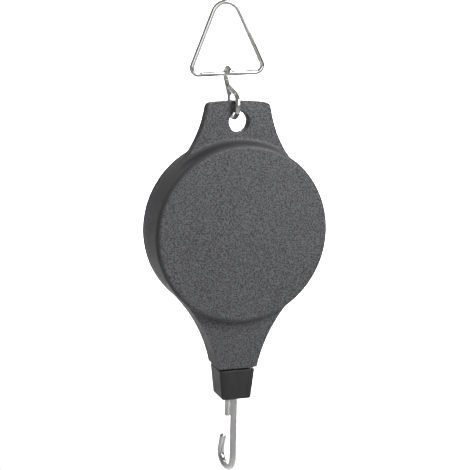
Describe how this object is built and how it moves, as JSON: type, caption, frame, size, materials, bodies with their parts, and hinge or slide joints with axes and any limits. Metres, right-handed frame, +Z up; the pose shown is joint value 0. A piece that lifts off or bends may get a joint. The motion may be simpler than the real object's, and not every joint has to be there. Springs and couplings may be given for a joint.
{
  "type": "retractable hanging reel",
  "caption": "Round two-part reel case with a hanging tab, wire triangle and S-hook above, and a load hook on a block that pulls down on a sprung cord.",
  "frame": {"origin": "inside the triangle's top bend, at the point that the whole reel hangs from", "axes": "+Z up along the reel; +X to the right of someone facing the case; +Y out of the case's back"},
  "size_m": [0.095, 0.0303, 0.2575],
  "materials": {
    "case": "fine grain",
    "block": "satin",
    "wire": "bright",
    "steel": "plated",
    "spring": "blued",
    "inner": "moulded",
    "guide": "slippery",
    "ratchet": "zinc",
    "bush": "turned",
    "cord": "braided"
  },
  "bodies": {
    "hanger": {"hanger": "wire"},
    "s_hook": {"s_hook": "wire"},
    "housing": {"front_shell": "case", "rear_shell": "case", "housing_screws": "steel", "cord_guide": "guide", "hub_axle": "steel", "spring_arbor": "inner", "thrust_washer_front": "guide", "thrust_washer_rear": "guide", "mainspring": "spring", "pawl_pin": "steel", "pawl_spring": "spring"},
    "drum": {"drum": "inner", "drum_cover": "inner", "drum_bush": "bush", "ratchet_ring": "ratchet", "ratchet_rivets": "steel", "cord_winding": "cord", "cord_anchor_knot": "cord"},
    "pawl": {"pawl": "ratchet"},
    "hook_block": {"hook_block": "block", "block_plug": "block", "cord_run": "cord", "cord_end_knot": "cord"},
    "hook": {"hook": "wire", "swivel_disc": "steel"}
  },
  "joints": [
    {"name": "s_hook_swing", "type": "hinge", "parent": "hanger", "child": "s_hook", "pos_m": [0.00155, 0, -0.03562], "axis": [0.999, 0, 0.0436], "range_deg": [-20, 100]},
    {"name": "case_swing", "type": "hinge", "parent": "s_hook", "child": "housing", "pos_m": [0.00155, -0.011, -0.05162], "axis": [1, 0, 0], "range_deg": [-100, 20]},
    {"name": "cord_pull", "type": "slide", "parent": "housing", "child": "hook_block", "axis": [0, 0, -1], "range_m": [0, 0.7037], "stiffness_N_per_m": 8, "springref_m": -1, "deforming": ["cord_run"]},
    {"name": "drum_spin", "type": "hinge", "parent": "housing", "child": "drum", "pos_m": [0.00365, -0.011, -0.11802], "axis": [0, 1, 0], "range_deg": [0, 1440], "deforming": ["mainspring"]},
    {"name": "pawl_turn", "type": "hinge", "parent": "housing", "child": "pawl", "pos_m": [0.03429, -0.0031, -0.09231], "axis": [0, -1, 0], "range_deg": [0, 16], "stiffness_Nm_per_rad": 0.01},
    {"name": "hook_swivel", "type": "hinge", "parent": "hook_block", "child": "hook", "pos_m": [0.00365, -0.0098, -0.20732], "axis": [0, 0, 1], "continuous": true}
  ],
  "couplings": [
    {"joint": "drum_spin", "follows": "cord_pull", "rad_per_m": 35.714}
  ]
}
